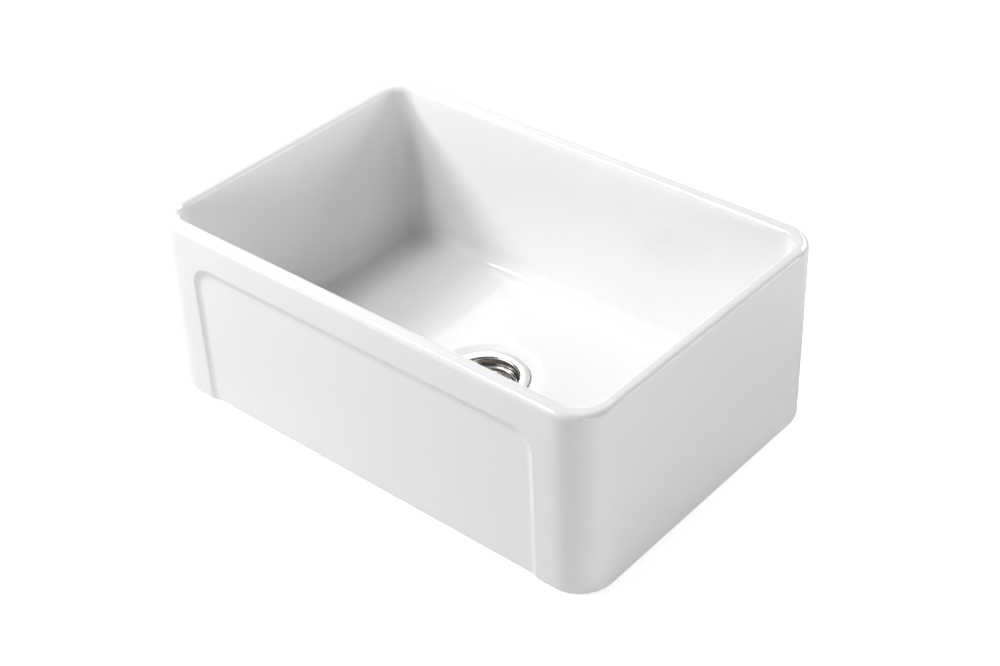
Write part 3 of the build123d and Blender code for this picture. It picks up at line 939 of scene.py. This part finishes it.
def bowl_mesh(bowl):
    """Rows of vertices all round the bowl, and the quads between them."""
    loop = bowl_loop(bowl)
    half_depth = BOWL_HIGH.y - bowl.corner
    inner_front = bowl.apron_wall - bowl.side_wall - half_depth
    rings = []
    for reach, level, outside, apron in bowl_rows(bowl):
        front = -half_depth if outside else inner_front
        ring = []
        for x, share_back, (dx, dy) in loop:
            y = front + share_back * (half_depth - front) + reach * dy
            if apron and dy == -1.0:
                y += sunk(bowl, x, level)
            ring.append((x + reach * dx, y, level))
        rings.append(np.array(ring))

    # Over the floor and under it, the rounds turn into circles about the drain.
    def circle(ring, radius, level):
        around = np.arctan2(ring[:, 1], ring[:, 0])
        flat = np.full(len(ring), level)
        return np.stack([radius * np.cos(around), radius * np.sin(around), flat], axis=1)

    dish_level = bowl.floor - bowl.dish
    dish_reach = bowl.dish_flat + bowl.dish_slope
    dish_margin, recess_margin = 0.012, 0.006
    glazed_edge, ground_edge = 0.0015, 0.0005
    drain = rounded_path(
        [(dish_reach + dish_margin, bowl.floor), (dish_reach, bowl.floor),
         (bowl.dish_flat, dish_level), (bowl.hole, dish_level), (bowl.hole, bowl.recess),
         (bowl.recess_reach, bowl.recess), (bowl.recess_reach, 0.0),
         (bowl.recess_reach + recess_margin, 0.0)],
        [bowl.dish_round, bowl.dish_round, glazed_edge, ground_edge, ground_edge, ground_edge],
        step=math.radians(4),
    )
    first, last = rings[0], rings[-1]
    floor_circle = circle(first, *drain[0])
    under_circle = circle(last, *drain[-1])
    spans = 16
    floor = [first + (floor_circle - first) * i / spans for i in range(1, spans)]
    under = [last + (under_circle - last) * i / spans for i in range(1, spans)]
    down = [circle(first, radius, level) for radius, level in drain]
    rings = rings + under + down[::-1] + floor[::-1]
    return np.vstack(rings), bands(len(rings), len(loop), closed=True)


class SINK_OT_bowl(bpy.types.Operator):
    """Make the glazed fireclay bowl with its apron"""

    bl_idname = "sink.bowl"
    bl_label = "Fireclay bowl"

    def execute(self, context):
        bowl = context.scene.sink_bowl
        vertices, faces = bowl_mesh(bowl)
        piece = new_piece("glazed_bowl", vertices, faces, glaze_material(bowl))
        seat(piece, "sink", "white_glaze", "fireclay_bowl")
        return {"FINISHED"}


# ---- the strainer and its basket -------------------------------------------------------

# Radii of the bends at the sheet's middle, in the order of a section's corners.
BODY_BENDS = [0.0011, 0.0024, 0.0015, 0.0011, 0.0097, 0.0067, 0.0013]
BASKET_BENDS = [0.0009, 0.0030, 0.0034, 0.0044]
SHELL_BENDS = [0.0018, 0.0026, 0.0036, 0.0042]
SHEET_SEGMENTS = 192
POLISHED = {"pitch": 0.0005, "depth": 0.000002, "stain": 0.10}


class SINK_OT_strainer_body(bpy.types.Operator):
    """Make the spun strainer body with its flange, cup and threaded neck"""

    bl_idname = "sink.strainer_body"
    bl_label = "Strainer body"

    def execute(self, context):
        part = context.scene.sink_strainer
        flange = BODY_HIGH.z
        ledge = flange - part.ledge
        bore = part.neck - part.sheet
        slope = part.seat_level + (part.cup - part.seat) * math.tan(part.slope)
        section = sheet_section(
            [(BODY_HIGH.x, SEAL_LOW.z + REST), (BODY_HIGH.x, flange), (part.throat, flange),
             (part.throat, ledge), (part.cup, ledge), (part.cup, slope),
             (part.seat, part.seat_level), (bore, part.seat_level), (bore, BODY_LOW.z)],
            BODY_BENDS, part.sheet,
        )
        section = divided(section, part.pitch / 8, part.neck)
        vertices, faces = lathe(section, SHEET_SEGMENTS)
        relief_top = NUT_LOW.z - part.relief_gap
        relief_foot = relief_top - part.relief_width
        top, foot = part.seat_level - part.sheet, BODY_LOW.z + 0.0004
        for low, high in ((relief_top, top), (foot, relief_foot)):
            vertices = threaded(vertices, part.neck, low, high, part.pitch, part.thread)
        # Painted shade: below the flange's top the body takes the darker inside colour,
        # standing in for the shade down in the drain.
        painted_shade_top = flange - 0.0001
        steel = steel_material(
            "polished_steel", part.steel, part.polish, **POLISHED, below=painted_shade_top,
            inside=part.inside, satin=0.16,
        )
        piece = new_piece("spun_strainer_body", vertices, faces, steel)
        seat(piece, "sink", "polished_steel", "strainer_body")
        return {"FINISHED"}


class SINK_OT_basket(bpy.types.Operator):
    """Make the basket and cut its slots"""

    bl_idname = "sink.basket"
    bl_label = "Slotted basket"

    def execute(self, context):
        part = context.scene.sink_strainer
        floor = BASKET_LOW.z + part.basket_sheet
        section = sheet_section(
            [(BASKET_HIGH.x, BODY_HIGH.z - part.ledge + REST),
             (BASKET_HIGH.x, BASKET_HIGH.z), (part.wall, BASKET_HIGH.z),
             (part.wall, part.shoulder), (part.basket_floor, floor), (part.bushing, floor)],
            BASKET_BENDS, part.basket_sheet,
        )
        # Painted shade: the rim above the shoulder takes the darker basket colour, and the
        # sheet below it keeps the polished steel colour.
        steel = steel_material(
            "basket_steel", part.basket, 0.16, **POLISHED, below=part.shoulder,
            inside=part.steel,
        )
        piece = new_piece("slotted_basket", *lathe(section, SHEET_SEGMENTS), steel)
        slot_foot, inwards = floor + part.slot_margin, 0.003
        grow(piece, slots_tree(), {
            "Cone Slots": part.slots,
            "Floor Slots": part.spokes,
            "Slot Width": part.slot_width,
            "Cone Slot Height": part.slot_top - slot_foot,
            "Cone Slot Level": (part.slot_top + slot_foot) / 2,
            "Cone Start": part.basket_floor - inwards,
            "Floor Slot Length": part.spoke_length,
            "Floor Slot Radius": part.spoke_start + part.spoke_length / 2,
            "Floor Level": floor - part.basket_sheet / 2,
            "Material": steel,
        })
        shade(piece)
        seat(piece, "basket", "polished_steel", "basket_cup")
        return {"FINISHED"}


# ---- the stopper -----------------------------------------------------------------------

class SINK_OT_stopper(bpy.types.Operator):
    """Make the knob, the post and the rubber of the stopper"""

    bl_idname = "sink.stopper"
    bl_label = "Stopper"

    def execute(self, context):
        part = context.scene.sink_stopper
        steel = steel_material(
            "turned_steel", part.steel, 0.16, pitch=0.0004, depth=0.000002, stain=0.12,
        )
        foot, top, head = KNOB_LOW.z, KNOB_HIGH.z, KNOB_HIGH.x
        bore_top = foot + part.knob_bore
        neck_top, head_foot, edge = foot + 0.0035, foot + 0.0064, top - 0.0012
        knob = rounded_path(
            [(0.0, bore_top), (part.post, bore_top), (part.post, foot), (part.knob_neck, foot),
             (part.knob_neck, neck_top), (head, head_foot), (head, edge), (0.0, top)],
            [0.0003, 0.0003, 0.0004, 0.002, 0.0007, part.knob_edge],
        )
        piece = new_piece("turned_knob", *lathe(knob, 96), steel)
        seat(piece, "stopper", "polished_steel", "stopper_knob")
        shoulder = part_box("stopper_plate")[1].z
        tip, top_edge = 0.0009, 0.0004
        post = rounded_path(
            [(0.0, POST_LOW.z), (part.lower_post, POST_LOW.z), (part.lower_post, shoulder),
             (part.post, shoulder), (part.post, POST_HIGH.z), (0.0, POST_HIGH.z)],
            [tip, 0.0, 0.0, top_edge],
        )
        piece = new_piece("turned_post", *lathe(post, 64), steel)
        seat(piece, "stopper", "polished_steel", "stopper_post")
        rubber = rubber_material("black_rubber", part.rubber, 0.55)
        disc = ring_section(
            part.lower_post, RUBBER_HIGH.x, RUBBER_LOW.z, RUBBER_HIGH.z,
            [0.0, part.lip, part.lip],
        )
        piece = new_piece("moulded_seal", *lathe(disc, 160), rubber)
        seat(piece, "stopper", "black_rubber", "stopper_seal")
        return {"FINISHED"}


# ---- the clamping set ------------------------------------------------------------------

def screw_mesh(part):
    """One clamp screw at its place in the ring: a threaded shank with a hub and wings."""
    tip, foot = SCREW_HIGH.z, SCREW_LOW.z
    hub_top = tip - part.shank
    shank = rounded_path(
        [(0.0, tip), (part.screw, tip), (part.screw, hub_top), (part.hub, hub_top),
         (part.hub, foot), (0.0, foot)],
        [0.0005, 0.0, 0.0006, 0.0012],
    )
    shank = divided(shank, part.screw_pitch / 6, part.screw)
    vertices, faces = lathe(shank, 32)
    thread = part.screw_pitch * 0.55
    vertices = threaded(vertices, part.screw, hub_top, tip, part.screw_pitch, thread)

    # The wings are one sheet through the hub, dipped at its middle, with bevelled rims.
    inset, dip, upper, lower, bevel = 0.0002, 0.003, 0.003, 0.004, 0.0006
    high, low = hub_top - inset, foot + inset
    wing = rounded_path(
        [(0.0, high - dip), (part.wing / 2, high), (part.wing / 2, low), (0.0, low),
         (-part.wing / 2, low), (-part.wing / 2, high), (0.0, high - dip)],
        [upper, lower, 0.0, lower, upper],
    )[:-1]
    rims = ((-1.0, bevel), (-0.72, 0.0), (0.72, 0.0), (1.0, bevel))
    middle = wing.mean(axis=0)
    first = len(vertices)
    rounds = []
    for side, shrink in rims:
        drawn = middle + (wing - middle) * (1 - shrink / (part.wing / 2))
        depth = side * part.wing_sheet / 2
        rounds.append([(depth, y, z) for y, z in drawn])
    count = len(wing)
    wing_faces = bands(len(rims), count, flipped=True, first=first)
    wing_faces.append([first + k for k in reversed(range(count))])
    wing_faces.append([first + (len(rims) - 1) * count + k for k in range(count)])
    vertices = np.vstack([vertices, *rounds])
    vertices[:, 0] += part.circle
    return vertices, faces + wing_faces


def lugged_outline(part, angles):
    """Radius of the shell nut at each angle, with its lugs."""
    step, flank = TURN / part.lugs, 0.0014
    reach = NUT_HIGH.x
    off = (angles + step / 2) % step - step / 2
    side = reach * np.sin(abs(off))
    soft = np.clip((part.lug_width / 2 - side) / flank, 0.0, 1.0)
    soft = soft * soft * (3 - 2 * soft)
    return part.nut + (reach - part.nut) * soft


def nut_mesh(part):
    """The shell nut, with bevelled edges and a chamfered bore."""
    segments = 360
    angles = np.arange(segments) * TURN / segments
    outline = lugged_outline(part, angles)
    bore = np.full(segments, part.nut_bore)
    low, high = NUT_LOW.z, NUT_HIGH.z
    bevel = 0.0007
    turn = bevel * 0.3
    rings = [(bore + bevel, low), (bore, low + bevel), (bore, high - bevel),
             (bore + bevel, high), (outline - bevel, high), (outline - turn, high - turn),
             (outline, high - bevel), (outline, low + bevel), (outline - turn, low + turn),
             (outline - bevel, low)]
    vertices = np.vstack([
        np.stack([radii * np.cos(angles), radii * np.sin(angles),
                  np.full(segments, level)], axis=1)
        for radii, level in rings
    ])
    return vertices, bands(len(rings), segments, closed=True)


class SINK_OT_clamping_set(bpy.types.Operator):
    """Make the retaining shell, its screws and nut, and the gasket"""

    bl_idname = "sink.clamping_set"
    bl_label = "Clamping set"

    def execute(self, context):
        part = context.scene.sink_clamping
        flange = SHELL_HIGH.z
        seat_level = SHELL_LOW.z + part.sheet
        overlap, clearance = 0.0002, 0.00005
        section = sheet_section(
            [(SHELL_HIGH.x, flange - part.lip), (SHELL_HIGH.x, flange), (part.wall, flange),
             (part.wall, flange - part.wall_height), (part.seat, seat_level),
             (part.hole, seat_level)],
            SHELL_BENDS, part.sheet,
        )
        plain = steel_material(
            "plain_steel", part.steel, 0.32, pitch=0.0007, depth=0.000004, stain=0.14,
        )
        shell = new_piece("pressed_retaining_shell", *lathe(section, 144), plain)
        grow(shell, bosses_tree(), {
            "Count": part.screws,
            "Circle": part.circle,
            "Boss Radius": part.boss,
            "Boss Height": part.boss_height,
            "Boss Level": flange - part.sheet - part.boss_height / 2 + overlap,
            "Hole Radius": part.screw + clearance,
            "Material": plain,
        })
        shade(shell)
        seat(shell, "sink", "plain_steel", "retaining_shell")

        zinc = steel_material(
            "zinc_plated", part.zinc, 0.38, pitch=0.0009, depth=0.000004, stain=0.18,
        )
        screws = new_piece("winged_clamp_screws", *screw_mesh(part), zinc)
        grow(screws, ring_of_pieces_tree(), {"Count": part.screws, "Material": zinc})
        shade(screws)
        seat(screws, "sink", "zinc_plated", "clamp_screws")

        brass = steel_material(
            "cast_brass", part.brass, 0.30, pitch=0.0006, depth=0.000005, stain=0.20,
        )
        nut = new_piece("lugged_shell_nut", *nut_mesh(part), brass)
        seat(nut, "sink", "cast_brass", "shell_nut")

        soft = 0.0006
        gasket = ring_section(
            part.gasket_bore, GASKET_HIGH.x, GASKET_LOW.z, GASKET_HIGH.z, [soft, soft, soft],
        )
        rubber = bpy.data.materials["black_rubber"]
        ring = new_piece("moulded_gasket", *lathe(gasket, 144), rubber)
        seat(ring, "sink", "black_rubber", "underside_gasket")
        return {"FINISHED"}


class SINK_OT_plain_pieces(bpy.types.Operator):
    """Finish the rings, nuts and plates whose solids are kept as they are"""

    bl_idname = "sink.plain_pieces"
    bl_label = "Rings, nuts and plates"

    def execute(self, context):
        rubber_material("white_seal", context.scene.sink_clamping.foam, 0.65)
        fibre_material()
        finishes = {
            "white_seal": ["flange_seal"],
            "grey_fibre": ["fibre_ring"],
            "zinc_plated": ["pressure_ring", "retainer_nut"],
            "plain_steel": ["outlet_cross", "stopper_plate", "seal_retainer"],
            "cast_brass": ["basket_bushing", "bushing_nut"],
            "black_rubber": ["friction_ring"],
        }
        for finish, nodes in finishes.items():
            for node in nodes:
                dress(node, bpy.data.materials[finish])
        return {"FINISHED"}


# ---- the stage -------------------------------------------------------------------------

# Soft lights: name, degrees from the front towards the left, degrees up, distance, width and
# height, watts. The ceiling shows as a reflection only, and lights nothing.
LIGHTS = (
    ("left_front", 60, 40, 2.3, (0.6, 0.6), 37.0),
    ("left_front_high", 50, 58, 2.3, (0.6, 0.6), 18.7),
    ("front", 25, 44, 2.3, (0.6, 0.6), 9.1),
    ("back", 180, 30, 2.6, (1.2, 0.7), 40.0),
    ("right", -90, 30, 2.5, (0.9, 0.6), 3.5),
    ("right_front_low", -60, 6, 3.0, (1.2, 0.4), 20.1),
    ("right_back_low", -120, 7, 3.0, (1.6, 0.5), 20.0),
    ("ceiling", 0, 90, 2.5, (3.6, 3.6), 10.0),
)


def towards(around, lift):
    """Direction to a place, by angles from the front towards the right, and up."""
    return Vector((
        math.sin(around) * math.cos(lift), -math.cos(around) * math.cos(lift), math.sin(lift),
    ))


def soft_light(name, around, lift, reach, size, power):
    """A soft light that looks at the middle of the bowl."""
    light = bpy.data.lights.new(name, "AREA")
    light.shape = "RECTANGLE"
    light.size, light.size_y = size
    light.energy = power
    lamp = bpy.data.objects.new(name, light)
    back = towards(-math.radians(around), math.radians(lift))
    middle = Vector((0.0, 0.0, 0.15))
    turn = back.to_track_quat("Z", "Y").to_matrix().to_4x4()
    lamp.matrix_world = Matrix.Translation(middle + back * reach) @ turn
    bpy.context.scene.collection.objects.link(lamp)
    return lamp


def floor_mesh():
    """A wide floor with a closed well under the drain, so that the strainer can hang."""
    well, depth, segments = 0.068, 0.12, 96
    rings = [(14.0, 0.0), (3.0, 0.0), (0.8, 0.0), (well, 0.0), (well, -depth)]
    angles = [TURN * k / segments for k in range(segments)]
    vertices = [
        (radius * math.cos(a), radius * math.sin(a), level)
        for radius, level in rings for a in angles
    ]
    vertices.append((0.0, 0.0, -depth))
    last = (len(rings) - 1) * segments
    faces = bands(len(rings), segments, flipped=True)
    faces += [(last + k, last + (k + 1) % segments, len(vertices) - 1)
              for k in range(segments)]
    return vertices, faces


class SINK_OT_stage(bpy.types.Operator):
    """Set the floor, the lights and the camera"""

    bl_idname = "sink.stage"
    bl_label = "Stage"

    def execute(self, context):
        stage = context.scene.sink_stage
        scene = context.scene
        material, tree, shader, place = new_material("pale_floor")
        grain = add_node(tree, "ShaderNodeTexNoise", {"Vector": place, "Scale": 3.0})
        tree.links.new(
            mixed(tree, grain.outputs["Fac"], stage.floor, [c * 0.99 for c in stage.floor]),
            shader.inputs["Base Color"],
        )
        shader.inputs["Roughness"].default_value = 0.9
        shader.inputs["Specular IOR Level"].default_value = 0.0
        # Only the camera sees the floor's glow, which adds no light to the sink.
        seen = add_node(tree, "ShaderNodeLightPath").outputs["Is Camera Ray"]
        black, white = (0.0, 0.0, 0.0), (1.0, 1.0, 1.0)
        tree.links.new(mixed(tree, seen, black, white), shader.inputs["Emission Color"])
        shader.inputs["Emission Strength"].default_value = stage.glow
        floor = new_piece("pale_floor", *floor_mesh(), material)

        world = bpy.data.worlds.new("studio")
        world.use_nodes = True
        sky = world.node_tree.nodes["Background"].inputs
        sky["Color"].default_value = (1, 1, 1, 1)
        sky["Strength"].default_value = stage.daylight
        scene.world = world

        for name, *values in LIGHTS:
            lamp = soft_light(name, *values)
            if name == "ceiling":
                lamp.visible_diffuse = lamp.visible_camera = False

        camera = bpy.data.cameras.new("camera")
        camera.sensor_width = 36.0
        camera.lens = stage.lens
        camera.clip_end = 60.0
        back = towards(stage.azimuth, stage.elevation)
        level = Vector((math.cos(stage.azimuth), math.sin(stage.azimuth), 0.0))
        up = back.cross(level)
        cosine, sine = math.cos(stage.roll), math.sin(stage.roll)
        right = cosine * level + sine * up
        rise = -sine * level + cosine * up
        viewer = bpy.data.objects.new("camera", camera)
        turn = Matrix((right, rise, back)).transposed().to_4x4()
        spot = Vector(stage.aim) + back * stage.distance
        viewer.matrix_world = Matrix.Translation(spot) @ turn
        scene.collection.objects.link(viewer)
        scene.camera = viewer
        scene.view_settings.view_transform = "Standard"
        return {"FINISHED"}


# ---- the panel in the sidebar ----------------------------------------------------------

MAKERS = (
    SINK_OT_bowl,
    SINK_OT_strainer_body,
    SINK_OT_basket,
    SINK_OT_stopper,
    SINK_OT_clamping_set,
    SINK_OT_plain_pieces,
    SINK_OT_stage,
)
SETTINGS = {
    "sink_bowl": SINK_PG_bowl,
    "sink_strainer": SINK_PG_strainer,
    "sink_stopper": SINK_PG_stopper,
    "sink_clamping": SINK_PG_clamping,
    "sink_stage": SINK_PG_stage,
}


class SINK_PT_pieces(bpy.types.Panel):
    """Lists what makes the sink, piece by piece"""

    bl_idname = "SINK_PT_pieces"
    bl_label = "Apron front sink"
    bl_space_type = "VIEW_3D"
    bl_region_type = "UI"
    bl_category = "Sink"

    def draw(self, context):
        for maker in MAKERS:
            self.layout.operator(maker.bl_idname)
        for group, kind in SETTINGS.items():
            box = self.layout.box()
            box.label(text=kind.__doc__)
            for name in kind.__annotations__:
                box.prop(getattr(context.scene, group), name)


def register():
    for kind in (*SETTINGS.values(), *MAKERS, SINK_PT_pieces):
        bpy.utils.register_class(kind)
    for group, kind in SETTINGS.items():
        setattr(bpy.types.Scene, group, PointerProperty(type=kind))


def unregister():
    for group in SETTINGS:
        delattr(bpy.types.Scene, group)
    for kind in (SINK_PT_pieces, *reversed(MAKERS), *SETTINGS.values()):
        bpy.utils.unregister_class(kind)


def main():
    register()
    for maker in MAKERS:
        group, name = maker.bl_idname.split(".")
        getattr(getattr(bpy.ops, group), name)()


if __name__ == "__main__":
    main()
